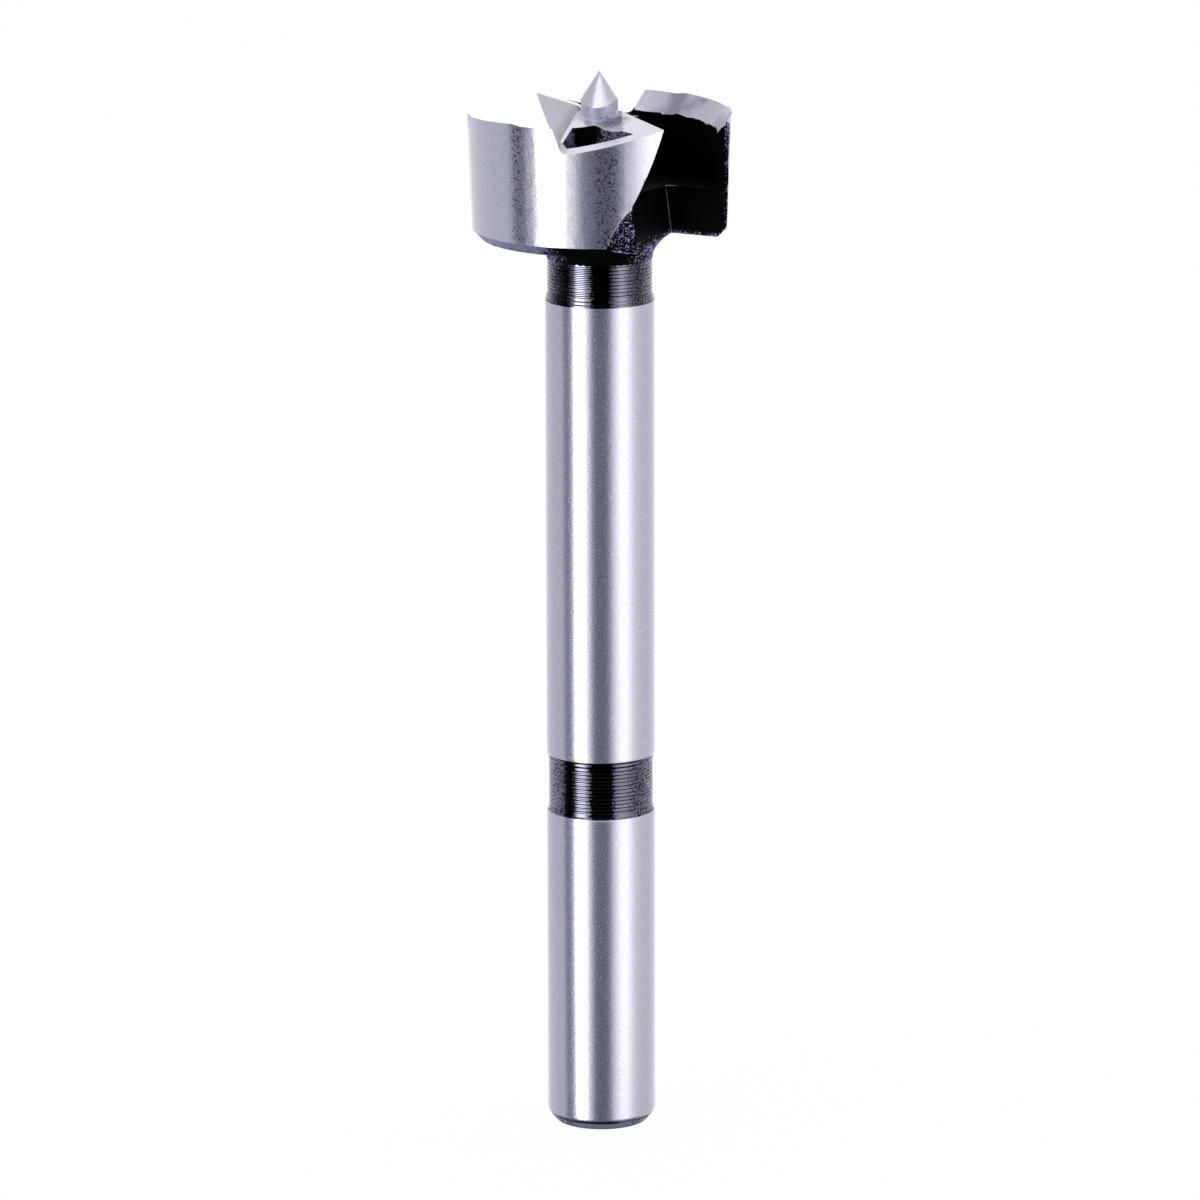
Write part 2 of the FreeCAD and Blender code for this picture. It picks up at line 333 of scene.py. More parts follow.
@dataclass(frozen=True)
class GroundSteel:
    """Bare ground tool steel with fine grinding marks, and painted shade and darker bands from the mesh.
    """

    name: str
    grain: Grain
    colour: Colour = (0.60, 0.60, 0.655)
    metallic: float = 0.78
    roughness: float = 0.26
    anisotropy: float = 0.75
    mark_height: float = 0.0012
    mottle_height: float = 0.0070
    pit_depth: float = 0.0028
    around_marks: Triple = (7.0, 9.0, 3.0)
    around_streaks: Triple = (18.0, 16.0, 6.0)
    across_marks: Triple = (9.0, 0.5, 9.0)
    across_streaks: Triple = (22.0, 1.4, 22.0)
    scratch_turn_deg: float = 31.0
    scratch_stretch: Triple = (0.35, 7.0, 1.2)
    mottle_scale: float = 3.2
    pit_scale: float = 7.5
    dot_scale: float = 4.6
    pit_rise: tuple[float, float] = (0.69, 0.75)
    scratch_rise: tuple[float, float] = (0.70, 0.74)
    dot_rise: tuple[float, float] = (0.55, 0.61)
    pit_colour: Colour = (0.20, 0.20, 0.24)
    scratch_colour: Colour = (0.85, 0.85, 0.88)
    painted_shade_and_band_colour: Colour = (0.06, 0.06, 0.10)
    dot_colour: Colour = (0.04, 0.04, 0.08)
    stain_colour: Colour = (0.030, 0.030, 0.075)

    def build(self) -> bpy.types.Material:
        """Build the material.

        Returns:
            The material.
        """
        material, tree = new_material(self.name)
        at = Surface(tree)
        if self.grain is Grain.AROUND:
            marks = tree.noise(at.stretched(*self.around_marks), 1.0, 3.0, 0.6)
            streaks = tree.noise(at.stretched(*self.around_streaks), 1.0, 2.0)
        else:
            marks = tree.noise(at.turned(LIP_AZIMUTH_DEG, self.across_marks), 1.0, 3.0, 0.6)
            streaks = tree.noise(at.turned(LIP_AZIMUTH_DEG, self.across_streaks), 1.0, 2.0)
        mottle = tree.noise(at.flat, self.mottle_scale, 2.0, 0.6)
        pits = tree.noise(at.flat, self.pit_scale, 1.0)
        scratch = tree.noise(at.turned(self.scratch_turn_deg, self.scratch_stretch), 1.0, 1.0)
        scratched = scratch.rise(*self.scratch_rise)
        # Painted shade for dark reflections on rake faces and rim bevels, and darker bands on the outside,
        # as the mesh gives them.
        painted_shade_and_band = tree.attribute("painted_shade_and_band")
        pitted = (pits + painted_shade_and_band * 0.12).rise(*self.pit_rise)
        height = marks * self.mark_height + mottle * self.mottle_height + pitted * -self.pit_depth
        normal = tree.bump(height)
        darker = tuple(0.80 * c for c in self.colour)
        lighter = tuple(min(1.0, 1.10 * c) for c in self.colour)
        shade = tree.mix(marks * 0.5 + streaks * 0.5, darker, lighter)
        shade = tree.mix(pitted * 0.5, shade, self.pit_colour)
        shade = tree.mix(scratched * 0.35, shade, self.scratch_colour)
        shade = tree.mix(painted_shade_and_band * 0.9, shade, self.painted_shade_and_band_colour)
        if self.grain is Grain.AROUND:
            dots = tree.noise(at.flat, self.dot_scale, 1.0).rise(*self.dot_rise) * painted_shade_and_band.rise(0.05, 0.25)
            shade = tree.mix(dots * 0.8, shade, self.dot_colour)
        stain = tree.attribute("stain")
        stained = (stain * 0.75 + (mottle - 0.5) * 1.2 + (pits - 0.5) * 2.0).rise(0.2, 0.8)
        stained = stained * stain.rise(0.0, 0.25)
        shade = tree.mix(stained * 0.95, shade, self.stain_colour)
        rough = streaks * 0.16 + (self.roughness - 0.08) + pitted * 0.2
        shader = tree.add(
            "ShaderNodeBsdfPrincipled", {},
            {
                "Base Color": shade,
                "Metallic": self.metallic,
                "Roughness": rough,
                "Anisotropic": self.anisotropy if self.grain is Grain.AROUND else 0.0,
                "Anisotropic Rotation": 0.25 if self.grain is Grain.AROUND else 0.0,
                "Normal": normal,
            },
        )
        tree.add("ShaderNodeOutputMaterial", {}, {0: shader.outputs[0]})
        return material


@dataclass(frozen=True)
class BlackOxide:
    """Blackened steel, worn to bare metal in specks and along its edges, with painted light.

    The wear comes from the mesh's "wear" and "edge" attributes, and at the sides
    of turned parts from a side setting whose bare specks there also stand in for a
    painted sheen. In one concave corner the "edge" line is a painted highlight, and
    the levels paint bright highlights and dark reflections into the colour by
    height and sideways place.
    """

    name: str
    colour: Colour
    metallic: float
    roughness: float
    grit_height: float
    speck_colour: Colour = (0.34, 0.34, 0.48)
    side_wear_and_sheen: float = 0.0
    waviness: float = 0.0
    painted_light_levels: tuple[tuple[float, Levels], ...] = ()
    rubbed_and_highlight_colour: Colour = (0.80, 0.80, 0.88)
    speck_rise: tuple[float, float] = (0.67, 0.71)
    line_rise: tuple[float, float] = (0.72, 0.82)
    blot_rise: tuple[float, float] = (0.50, 0.56)
    coarse_scale: float = 1.4
    grit_scale: float = 6.0
    blot_scale: float = 4.8

    def build(self) -> bpy.types.Material:
        """Build the material.

        Returns:
            The material.
        """
        material, tree = new_material(self.name)
        at = Surface(tree)
        coarse = tree.noise(at.flat, self.coarse_scale, 2.0, 0.6)
        grit = tree.noise(at.flat, self.grit_scale, 2.0, 0.6)
        wear = tree.attribute("wear")
        edge = tree.attribute("edge")
        # More bare specks at the sides of turned parts: partly wear, and partly a painted sheen where the
        # sides catch the light.
        if self.side_wear_and_sheen:
            aside = tree.maths("ABSOLUTE", self.beside(at))
            wear = wear + aside.rise(0.55, 0.95) * self.side_wear_and_sheen
        specks = (grit + (coarse - 0.5) * 0.3 + wear * 0.30).rise(*self.speck_rise)
        specks = specks * wear.rise(0.03, 0.15)
        # Bright lines along edges: rubbed bare steel, and in one concave corner a painted highlight.
        line = (edge + (coarse - 0.5) * 0.25 + (grit - 0.5) * 0.15).rise(*self.line_rise)
        worn = specks * (0.6 + coarse * 0.5)
        height = coarse * self.grit_height + grit * (0.6 * self.grit_height)
        if self.waviness:
            height = height + tree.noise(at.stretched(5.0, 3.0, 0.0), 1.0, 1.0) * self.waviness
        normal = tree.bump(height)
        base: Any = self.colour
        # Painted highlight and shade: the colour runs from black to full by height and sideways place,
        # standing in for bright and dark reflections.
        if self.painted_light_levels:
            black = tuple(0.01 * c for c in self.colour)
            base = tree.mix(self._painted_light(tree, at, grit), black, self.colour)
        shade = tree.mix(worn, base, self.speck_colour)
        shade = tree.mix(line, shade, self.rubbed_and_highlight_colour)
        shader = tree.add(
            "ShaderNodeBsdfPrincipled", {},
            {
                "Base Color": shade,
                "Metallic": (1.0 - line) * self.metallic,
                "Specular IOR Level": 0.02,
                "Roughness": grit * 0.10 + (self.roughness - 0.05),
                "Normal": normal,
            },
        )
        tree.add("ShaderNodeOutputMaterial", {}, {0: shader.outputs[0]})
        return material

    def _painted_light(self, tree: Tree, at: Surface, grit: Value) -> Value:
        """Painted highlight and shade of the oxide, by height and sideways place.

        Args:
            tree: The material's tree.
            at: The material's coordinates.
            grit: Noise that breaks up the limits.

        Returns:
            0 for black to 1 for its full colour.
        """
        place = (self.beside(at) + (grit - 0.5) * 0.30) * 0.5 + 0.5
        painted_level: Value | None = None
        for height, steps in self.painted_light_levels:
            stops = [((side + 1) / 2, (level, level, level)) for side, level in steps]
            level = Value(tree, tree.ramp(place, stops))
            if painted_level is None:
                painted_level = level
            else:
                painted_level = painted_level + (level - painted_level) * at.z.rise(height, height + 0.05)
        blots = tree.noise(at.flat, self.blot_scale, 1.0).rise(*self.blot_rise)
        blots = blots * tree.maths("ABSOLUTE", self.beside(at)).rise(0.35, 0.7)
        return painted_level * (1.0 - blots * 0.85)

    @staticmethod
    def beside(at: Surface) -> Value:
        """Sideways place on a turned part, from -1 to 1."""
        return at.x * (1 / SHANK_RADIUS)


# Levels of painted highlight and shade on the oxide: pairs of sideways place, from -1 to 1, and
# brightness.
EVEN_PAINTED_LIGHT: Levels = ((-1.0, 1.0), (-0.5, 0.75), (0.2, 0.7), (1.0, 1.0))
END_PAINTED_LIGHT: Levels = (
    (-1.0, 0.9), (-0.70, 0.45), (-0.48, 0.08), (0.22, 0.02), (0.36, 0.35), (0.75, 0.6), (1.0, 0.9),
)
GROOVE_PAINTED_LIGHT: Levels = (
    (-1.0, 0.80), (-0.71, 0.76), (-0.66, 0.01), (-0.515, 0.01), (-0.48, 0.55), (-0.24, 0.58),
    (-0.19, 0.0), (0.22, 0.0), (0.26, 0.44), (1.0, 0.52),
)
NECK_PAINTED_LIGHT: Levels = (
    (-1.0, 0.85), (-0.91, 0.80), (-0.84, 0.10), (-0.74, 0.03), (-0.58, 0.01), (-0.52, 0.85),
    (-0.42, 1.0), (-0.21, 0.85), (-0.14, 0.0), (0.17, 0.0), (0.235, 0.16), (0.31, 0.36),
    (0.38, 0.68), (0.46, 0.60), (0.56, 0.40), (0.68, 0.22), (0.76, 0.30), (0.83, 0.42), (1.0, 0.6),
)
TURNED_GROUND = GroundSteel("ground_steel_turned", Grain.AROUND)
FLAT_GROUND = GroundSteel("ground_steel_flat", Grain.ACROSS, metallic=0.85, roughness=0.24)
DULL_GROUND = GroundSteel("ground_steel_dull", Grain.ACROSS, metallic=0.6, roughness=0.48)
POINT = GroundSteel(
    "ground_steel_point", Grain.AROUND, roughness=0.24, anisotropy=0.4,
    mark_height=0.0004, mottle_height=0.0008, pit_depth=0.0,
)
TURNED_OXIDE = BlackOxide(
    "black_oxide_turned", (0.28, 0.28, 0.365), 1.0, 0.08, 0.0008, side_wear_and_sheen=0.40,
    waviness=0.004, painted_light_levels=((0.0, GROOVE_PAINTED_LIGHT), (50.0, NECK_PAINTED_LIGHT)),
)
DARK_OXIDE = BlackOxide("black_oxide_dark", (0.0016, 0.0016, 0.0016), 0.5, 0.50, 0.006)
CHAMFER = BlackOxide(
    "black_oxide_rubbed", (0.42, 0.42, 0.47), 0.2, 0.40, 0.0030,
    painted_light_levels=((0.0, EVEN_PAINTED_LIGHT), (0.62, END_PAINTED_LIGHT)),
)
FINISHES: dict[Zone, GroundSteel | BlackOxide] = {
    Zone.TURNED_GROUND: TURNED_GROUND,
    Zone.FLAT_GROUND: FLAT_GROUND,
    Zone.TURNED_OXIDE: TURNED_OXIDE,
    Zone.DARK_OXIDE: DARK_OXIDE,
    Zone.CHAMFER: CHAMFER,
    Zone.POINT: POINT,
    Zone.DULL_GROUND: DULL_GROUND,
}


def bake(work: bmesh.types.BMesh, name: str,
         materials: Sequence[bpy.types.Material]) -> bpy.types.Mesh:
    """Turn a work mesh into a mesh with materials.

    Args:
        work: The work mesh, which is freed.
        name: The mesh's name.
        materials: Its materials, in the order of their indices.

    Returns:
        The mesh.
    """
    mesh = bpy.data.meshes.new(name)
    work.to_mesh(mesh)
    work.free()
    for material in materials:
        mesh.materials.append(material)
    return mesh


def shade_smooth(mesh: bpy.types.Mesh, angle_deg: float) -> None:
    """Smooth a mesh's shading, with sharp edges above an angle.

    Args:
        mesh: The mesh.
        angle_deg: Angle between faces above which their edge is sharp.
    """
    work = bmesh.new()
    work.from_mesh(mesh)
    limit = math.radians(angle_deg)
    for face in work.faces:
        face.smooth = True
    for edge in work.edges:
        edge.smooth = len(edge.link_faces) == 2 and edge.calc_face_angle(0.0) < limit
    work.to_mesh(mesh)
    work.free()


def put_in_scene(name: str, mesh: bpy.types.Mesh) -> bpy.types.Object:
    """Make an object of a mesh.

    Args:
        name: The object's name.
        mesh: Its mesh.

    Returns:
        The object, at the origin.
    """
    piece = bpy.data.objects.new(name, mesh)
    bpy.context.scene.collection.objects.link(piece)
    return piece


@dataclass
class RibbedBand:
    """Fine turned rings between two heights, made by a Geometry Nodes tree.

    The tree draws a line up the axis, gives it a radius that dips once in each
    ring, and sweeps a circle along it.
    """

    name: str
    start: float
    end: float
    radius: float
    pitch: float
    depth: float
    segments: int
    steps: int = 8
    least_depth: float = 0.8
    seed: int = 7

    def tree(self) -> bpy.types.NodeTree:
        """Build the Geometry Nodes tree.

        Returns:
            The tree, with named inputs for the band's sizes.
        """
        group = bpy.data.node_groups.new("turned_rings", "GeometryNodeTree")
        kinds = {
            "Geometry": "Geometry", "Start": "Float", "End": "Float", "Radius": "Float",
            "Depth": "Float", "Least Depth": "Float", "Rings": "Int", "Steps": "Int",
            "Segments": "Int", "Seed": "Int", "Finish": "Material",
        }
        for title, kind in kinds.items():
            group.interface.new_socket(title, in_out="INPUT", socket_type=f"NodeSocket{kind}")
        group.interface.new_socket("Geometry", in_out="OUTPUT", socket_type="NodeSocketGeometry")
        tree = Tree(group)
        given = tree.add("NodeGroupInput").outputs
        radius, depth, rings, steps = (
            Value(tree, given[title]) for title in ("Radius", "Depth", "Rings", "Steps")
        )
        low = tree.add("ShaderNodeCombineXYZ", {}, {"Z": given["Start"]})
        high = tree.add("ShaderNodeCombineXYZ", {}, {"Z": given["End"]})
        line = tree.add(
            "GeometryNodeCurvePrimitiveLine", {}, {"Start": low.outputs[0], "End": high.outputs[0]}
        )
        stations = tree.add(
            "GeometryNodeResampleCurve", {}, {"Curve": line.outputs[0], "Count": rings * steps + 1.0}
        )
        way = Value(tree, tree.add("GeometryNodeSplineParameter").outputs["Factor"])
        dip = (1.0 - tree.maths("COSINE", way * rings * (2 * math.pi))) * 0.5
        index = Value(tree, tree.add("GeometryNodeInputIndex").outputs[0])
        ring = tree.maths("FLOOR", tree.maths("DIVIDE", index, steps))
        uneven = tree.add(
            "FunctionNodeRandomValue", {"data_type": "FLOAT"},
            {2: given["Least Depth"], 3: 1.0, "ID": ring, "Seed": given["Seed"]},
        )
        cut = dip * depth * Value(tree, uneven.outputs[1])
        width = tree.add(
            "GeometryNodeSetCurveRadius", {}, {"Curve": stations.outputs[0], "Radius": radius - cut}
        )
        circle = tree.add(
            "GeometryNodeCurvePrimitiveCircle", {}, {"Radius": 1.0, "Resolution": given["Segments"]}
        )
        sweep = tree.add(
            "GeometryNodeCurveToMesh", {},
            {"Curve": width.outputs[0], "Profile Curve": circle.outputs[0],
             "Scale": tree.add("GeometryNodeInputRadius").outputs[0]},
        )
        real = tree.add("GeometryNodeRealizeInstances", {}, {0: sweep.outputs[0]})
        dress = tree.add(
            "GeometryNodeSetMaterial", {}, {"Geometry": real.outputs[0], "Material": given["Finish"]}
        )
        tree.add("NodeGroupOutput", {}, {0: dress.outputs[0]})
        return group

    def mesh(self, finish: bpy.types.Material) -> bpy.types.Mesh:
        """Make the band as a plain mesh, in metres.

        Args:
            finish: Its material.

        Returns:
            The mesh, an open sleeve.
        """
        carrier = put_in_scene(self.name, bpy.data.meshes.new(self.name))
        modifier = carrier.modifiers.new("rings", "NODES")
        modifier.node_group = self.tree()
        rings = round((self.end - self.start) / self.pitch)
        values = {
            "Start": self.start * MM, "End": self.end * MM, "Radius": self.radius * MM,
            "Depth": self.depth * MM, "Least Depth": self.least_depth, "Rings": rings,
            "Steps": self.steps, "Segments": self.segments, "Seed": self.seed, "Finish": finish,
        }
        for item in modifier.node_group.interface.items_tree:
            if item.in_out == "INPUT" and item.name in values:
                modifier[item.identifier] = values[item.name]
        graph = bpy.context.evaluated_depsgraph_get()
        made = bpy.data.meshes.new_from_object(carrier.evaluated_get(graph))
        carrier.modifiers.clear()
        bpy.data.objects.remove(carrier)
        return made


@dataclass
class Shank:
    """Turned shank with its end chamfer, relief groove and ribbed neck, in mm."""

    radius: float = SHANK_RADIUS
    chamfer_height: float = 1.0
    chamfer_width: float = 0.8
    groove_bottom: float = 29.65
    groove_top: float = 35.45
    groove_depth: float = 0.19
    groove_bottom_ramp: float = 0.65
    groove_top_ramp: float = 1.0
    oxide_inset: float = 0.2
    neck_start: float = 77.85
    neck_ramp: float = 0.65
    neck_radius: float = 4.82
    neck_end: float = HEAD_START
    hidden_end: float = 82.2
    end_round: float = 0.12
    lip_dip: float = 0.015
    ring_pitch: float = 0.34
    ring_depth: float = 0.075
    ring_steps: int = 8
    ramp_share: float = 0.7
    segments: int = 144
    sharp_deg: float = 34.0

    def _zones(self) -> Profile:
        """Profile of the plain turned parts.

        Returns:
            Points as radius, height and the finish of the stretch above the point, which
            is None where a ribbed band takes its place.
        """
        groove = self.radius - self.groove_depth
        low, high = self.groove_bottom, self.groove_top
        low_edge = self.radius - self.groove_depth * self.oxide_inset / self.groove_bottom_ramp
        high_edge = self.radius - self.groove_depth * self.oxide_inset / self.groove_top_ramp
        end_face = self.radius - self.chamfer_width
        points: Profile = [
            (end_face - self.end_round, 0.0, Zone.CHAMFER),
            (end_face, 0.03, Zone.CHAMFER),
            (end_face + self.end_round, 0.14, Zone.CHAMFER),
            (self.radius - 0.26, self.chamfer_height - 0.32, Zone.CHAMFER),
            (self.radius - 0.05, self.chamfer_height - 0.02, Zone.TURNED_GROUND),
            (self.radius, self.chamfer_height + 0.2, Zone.TURNED_GROUND),
            (self.radius, low - 0.1, Zone.TURNED_GROUND),
            (self.radius - self.lip_dip, low + 0.03, Zone.TURNED_GROUND),
        ]
        floor = (low + self.groove_bottom_ramp, high - self.groove_top_ramp)
        points += self._ramp((low_edge, low + self.oxide_inset), (groove, floor[0]))
        points.append((groove, floor[0], None))
        points += self._ramp((groove, floor[1]), (high_edge, high - self.oxide_inset))
        points += [
            (high_edge, high - self.oxide_inset, Zone.TURNED_GROUND),
            (self.radius - self.lip_dip, high - 0.03, Zone.TURNED_GROUND),
            (self.radius, high + 0.1, Zone.TURNED_GROUND),
            (self.radius, self.neck_start - 0.15, Zone.TURNED_OXIDE),
        ]
        neck_foot = self.neck_start + self.neck_ramp
        points += self._ramp((self.radius - 0.01, self.neck_start), (self.neck_radius, neck_foot))
        points += [
            (self.neck_radius, neck_foot, None),
            (self.neck_radius, self.neck_end, Zone.TURNED_OXIDE),
            (self.neck_radius, self.hidden_end, Zone.TURNED_OXIDE),
        ]
        return points

    def _ramp(self, start: tuple[float, float], end: tuple[float, float]) -> Profile:
        """Conical stretch with the same turned rings as the bands beside it.

        Args:
            start: Radius and height of its lower end.
            end: Radius and height of its upper end, left out of the result.

        Returns:
            Profile points from the lower end up.
        """
        rings = max(1, round((end[1] - start[1]) / self.ring_pitch))
        steps = self.ring_steps * rings
        points: Profile = []
        for i in range(steps):
            share = i / steps
            dip = self.ramp_share / 2 * self.ring_depth * (1 - math.cos(2 * math.pi * share * rings))
            radius = start[0] + share * (end[0] - start[0]) - dip
            points.append((radius, start[1] + share * (end[1] - start[1]), Zone.TURNED_OXIDE))
        return points

    def _lathe(self, work: bmesh.types.BMesh) -> None:
        """Add the plain turned parts and the two end faces to a mesh.

        Args:
            work: The mesh, in metres.
        """
        profile = self._zones()
        rings = []
        for radius, height, _ in profile:
            ring = []
            for i in range(self.segments):
                turn = 2 * math.pi * i / self.segments
                ring.append(work.verts.new(
                    Vector((radius * math.cos(turn), radius * math.sin(turn), height)) * MM
                ))
            rings.append(ring)
        for (lower, upper), (_, _, zone) in zip(zip(rings, rings[1:]), profile):
            if zone is None:
                continue
            for i in range(self.segments):
                j = (i + 1) % self.segments
                quad = work.faces.new((lower[i], lower[j], upper[j], upper[i]))
                quad.material_index = zone
        for cap in (list(reversed(rings[0])), rings[-1]):
            work.faces.new(cap).material_index = Zone.TURNED_OXIDE

    def build(self, finishes: dict[Zone, bpy.types.Material]) -> bpy.types.Object:
        """Build the shank.

        Args:
            finishes: Material of each zone.

        Returns:
            The shank's object.
        """
        rings = (self.ring_pitch, self.ring_depth, self.segments, self.ring_steps)
        bands = [
            RibbedBand("groove_rings", self.groove_bottom + self.groove_bottom_ramp,
                       self.groove_top - self.groove_top_ramp, self.radius - self.groove_depth, *rings),
            RibbedBand("neck_rings", self.neck_start + self.neck_ramp, self.neck_end,
                       self.neck_radius, *rings),
        ]
        work = bmesh.new()
        for band in bands:
            made = band.mesh(finishes[Zone.TURNED_OXIDE])
            before = len(work.faces)
            work.from_mesh(made)
            bpy.data.meshes.remove(made)
            work.faces.ensure_lookup_table()
            for face in work.faces[before:]:
                face.material_index = Zone.TURNED_OXIDE
        self._lathe(work)
        bmesh.ops.remove_doubles(work, verts=work.verts, dist=0.002 * MM)
        bmesh.ops.recalc_face_normals(work, faces=work.faces)
        mesh = bake(work, "shank", [finishes[zone] for zone in Zone])
        shade_smooth(mesh, self.sharp_deg)
        return put_in_scene("shank", mesh)


def radius_of(place: Vector) -> float:
    """Distance of a place from the bit's axis."""
    return math.hypot(place.x, place.y)


def azimuth_of(place: Vector) -> float:
    """Direction of a place round the bit's axis, in degrees."""
    return math.degrees(math.atan2(place.y, place.x))


@dataclass
class CuttingHead:
    """Head with its lips, rims, pockets and centre point, in mm.

    The surfaces are those of the CAD node, cut into small cells so that its
    round parts are truly round and wear can follow its edges. Depths are
    measured down from the lips. Azimuths are measured from a lip, apart from
    those of the grinding, which are measured from +X.
    """

    node: str = "bit"
    split_height: float = HEAD_START
    cell: float = 0.75
    cell_shift: float = 0.137
    tip_height: float = 98.7
    lip_height: float = 94.97
    head_bottom: float = 83.5
    head_chamfer: float = 0.9
    chamfer_reach: float = 10.9
    head_radius: float = 12.0
    back_taper_deg: float = 2.05
    rake_depth: float = 6.87
    rake_start: float = 1.2
    rake_span: tuple[float, float] = (-2.2, 1.38)
    flat_depth: float = 2.5
    hollow_radius: float = 10.7
    hollow_depth: float = 7.0
    rim_lead_deg: float = -37.9
    rim_trail_deg: float = -127.0
    bevel_drop: float = 2.3
    bevel_inner_radius: float = 10.4
    point_half_angle_deg: float = 33.5
    point_reach: float = 2.1
    point_foot: float = 0.4
    post_reach: float = 2.6
    post_foot: float = 2.15
    post_depth: float = 1.0
    wall_reach: float = 3.4
    wall_depth: float = 1.2
    trail_radius: float = 11.2
    corner_radius: tuple[float, float] = (6.2, 7.0)
    corner_top: float = 88.6
    slack: float = 0.02
    snap: float = 0.045
    sharp_deg: float = 24.0
    # Stain, darker bands, painted shade and wear of the photographed side. A darker band on the
    # outside is a direction from the front, a half width and a strength, and the painted shade on a
    # rake face is a start, its depth there and its slope.
    stain_middle: tuple[float, float] = (4.0, -0.35)
    stain_reach: tuple[float, float] = (2.3, 1.35)
    stain_span: tuple[float, float] = (-1.9, 0.75)
    stain_depth: float = 1.6
    stain_front: float = 0.8
    outside_streaks: tuple[Triple, ...] = ((3.0, 7.5, 0.45), (-38.5, 6.0, 0.30))
    rake_painted_shade: Triple = (2.69, 0.12, 0.513)
    bevel_painted_shade_deg: float = -62.0
    bare_chamfer_deg: float = -42.0
    worn_depth: float = 3.2
    # Grinding of the rims. Each wave of roughness along their inner edge is a number
    # of waves in a full turn, a shift and a share of the size.
    grind_depth: float = 2.2
    grind_fade: float = 1.6
    grind_radius: float = 10.3
    grind_rises: Levels = (
        (160, 0.0), (165, -0.5), (177, -0.5), (187, 0.1), (195, 0.18), (232, 0.16), (250, 0.0),
    )
    rim_foot_depth: float = 2.0
    smooth_rim_deg: tuple[float, float] = (57, 95)
    rough_sizes: tuple[float, float] = (0.06, 0.02)
    rough_waves: tuple[Triple, ...] = ((23, 1.0, 1.0), (41, 0.0, 0.7), (67, 2.0, 0.6))

    def outer_radius(self, z: float) -> float:
        """Radius of the head's outside at a height."""
        return self.head_radius - (self.lip_height - z) * math.tan(math.radians(self.back_taper_deg))

    def on_outside(self, corners: Sequence[Vector]) -> bool:
        """Tell whether all of some points, in mm, lie on the head's round outside."""
        return max(abs(radius_of(c) - self.outer_radius(c.z)) for c in corners) < 0.004

    def on_chamfer(self, place: Vector, normal: Vector) -> bool:
        """Tell whether a face with this middle and normal is on the head's lower chamfer."""
        low = place.z < self.head_bottom + self.head_chamfer + self.slack
        return low and normal.z < -0.3 and radius_of(place) > self.chamfer_reach

    def both_sides(self, place: Vector, normal: Vector) -> list[tuple[Vector, Vector]]:
        """Give a place and its normal in the frame of either lip.

        Args:
            place: The place, in mm.
            normal: The normal there.

        Returns:
            A pair for each lip.
        """
        pairs = []
        for turn in (0.0, 180.0):
            spin = Matrix.Rotation(math.radians(turn - LIP_AZIMUTH_DEG), 3, "Z")
            pairs.append((spin @ place, spin @ normal))
        return pairs

    def zone_of(self, centre: Vector, normal: Vector, corners: Sequence[Vector]) -> Zone:
        """Find a face's finish.

        Args:
            centre: The face's middle, in mm.
            normal: Its normal.
            corners: Its corners, in mm.

        Returns:
            The zone that the face belongs to.
        """
        radius = radius_of(centre)
        depth = self.lip_height - centre.z
        out = normal.dot(Vector((centre.x, centre.y, 0)).normalized())
        if centre.z < self.head_bottom + self.slack:
            return Zone.DARK_OXIDE
        if out > 0.9 and self.on_outside(corners):
            return Zone.TURNED_GROUND
        if self.on_chamfer(centre, normal):
            return Zone.DARK_OXIDE
        on_post = radius < self.post_foot or normal.z > 0.3
        if on_post and radius < self.post_reach and depth < self.post_depth:
            return Zone.POINT if normal.z > 0.45 and depth < -0.3 else Zone.DULL_GROUND
        for p, n in self.both_sides(centre, normal):
            if n.z > 0.6 and depth < self.flat_depth:
                return Zone.FLAT_GROUND
            if n.x > 0.9 and radius < self.wall_reach and depth < self.wall_depth:
                return Zone.DULL_GROUND
            on_rake = n.y > 0.55 and depth < self.rake_depth and p.x > self.rake_start
            if on_rake and self.rake_span[0] < p.y < self.rake_span[1]:
                return Zone.FLAT_GROUND
            on_rim = self.rim_trail_deg < azimuth_of(p) < self.rim_lead_deg and n.z > 0.3
            if on_rim and radius > self.bevel_inner_radius and depth < self.bevel_drop:
                return Zone.FLAT_GROUND
        return Zone.DARK_OXIDE

    def stain_of(self, place: Vector, normal: Vector) -> float:
        """Find how stained the bare steel beside the centre post is, on the photographed side.

        Args:
            place: The place, in mm.
            normal: The normal there.

        Returns:
            0 for clean to 1 for black.
        """
        most = 0.0
        on_flat = normal.z > 0.6 and self.lip_height - place.z < self.stain_depth
        for p, _ in self.both_sides(place, normal):
            if on_flat and place.y < self.stain_front and self.stain_span[0] < p.y < self.stain_span[1]:
                along = (p.x - self.stain_middle[0]) / self.stain_reach[0]
                across = (p.y - self.stain_middle[1]) / self.stain_reach[1]
                most = max(most, 1.2 - (along * along + across * across))
        return min(1.0, most)

    def painted_shade_and_band_of(self, place: Vector, normal: Vector) -> float:
        """Find how much the bare steel is darkened: painted shade for dark reflections on each rake face
        and rim bevel, and darker bands on the outside.

        Args:
            place: The place, in mm.
            normal: The normal there.

        Returns:
            0 for none to 1 for black.
        """
        most = 0.0
        depth = self.lip_height - place.z
        if radius_of(place) > self.hollow_radius and abs(normal.z) < 0.3:
            turn = math.degrees(math.atan2(place.x, -place.y))
            for middle, half, strength in self.outside_streaks:
                most = max(most, strength * (1.0 - abs(turn - middle) / half))
        for p, n in self.both_sides(place, normal):
            if n.y > 0.5 and p.x > 2.0:
                # Painted shade: a dark reflection along each rake face.
                start, start_depth, slope = self.rake_painted_shade
                painted_band_depth = start_depth + slope * (p.x - start)
                most = max(most, 0.55 * (1.0 - abs(depth - painted_band_depth) / 0.9))
            # Painted shade: a dark reflection band on each rim bevel.
            if n.z > 0.3 and depth < self.bevel_drop and radius_of(p) > self.bevel_inner_radius:
                share = 1.7 * (1.0 - abs(azimuth_of(p) - self.bevel_painted_shade_deg) / 7.0)
                most = max(most, 0.55 * min(1.0, share))
        return most

